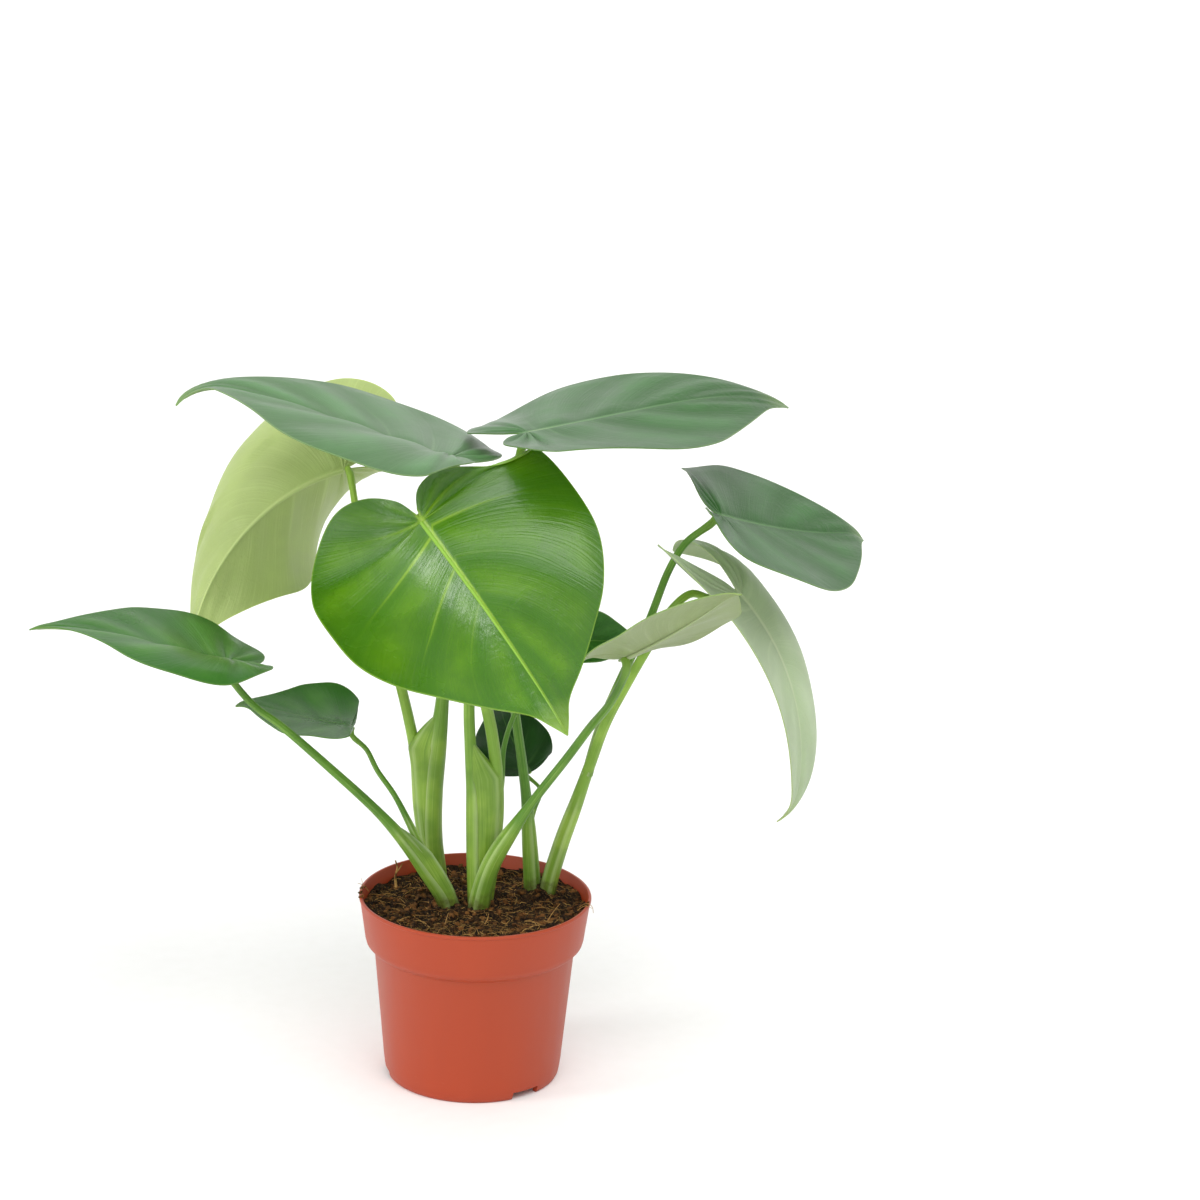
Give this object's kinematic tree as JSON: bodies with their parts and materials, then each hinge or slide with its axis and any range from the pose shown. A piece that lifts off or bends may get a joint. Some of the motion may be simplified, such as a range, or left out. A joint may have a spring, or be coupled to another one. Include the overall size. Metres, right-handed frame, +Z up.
{
  "type": "potted swiss cheese plant",
  "caption": "Young swiss cheese plant with whole heart-shaped leaves on long sheathed stalks, in soil in a thin terracotta-coloured plastic nursery pot",
  "frame": {"origin": "middle of the flat underside of the pot, where it stands", "axes": "+Z is up out of the pot; +Y points away from the viewer of the picture; +X is to the viewer's right, along the widest spread of the leaves"},
  "size_m": [0.4205, 0.2574, 0.3627],
  "materials": {
    "pot_plastic": "satin",
    "potting_soil": "matte",
    "stalk_green": "satin",
    "leaf_dark": "satin",
    "leaf_deep": "satin",
    "leaf_bright": "gloss",
    "leaf_young": "satin",
    "leaf_pale": "matte"
  },
  "bodies": {
    "root": {"pot": "pot_plastic", "soil": "potting_soil", "stalks_front_left": "stalk_green", "stalks_back_left": "stalk_green", "stalks_middle": "stalk_green", "stalks_right": "stalk_green", "leaf_upper_left": "leaf_dark", "leaf_back_left": "leaf_young", "leaf_upper_right": "leaf_dark", "leaf_front": "leaf_bright", "leaf_low_left": "leaf_deep", "leaf_small_left": "leaf_deep", "leaf_small_back": "leaf_deep", "leaf_small_middle": "leaf_deep", "leaf_right": "leaf_dark", "leaf_right_drooping": "leaf_pale", "leaf_right_pale": "leaf_pale", "leaf_back_middle": "leaf_dark"}
  },
  "joints": []
}
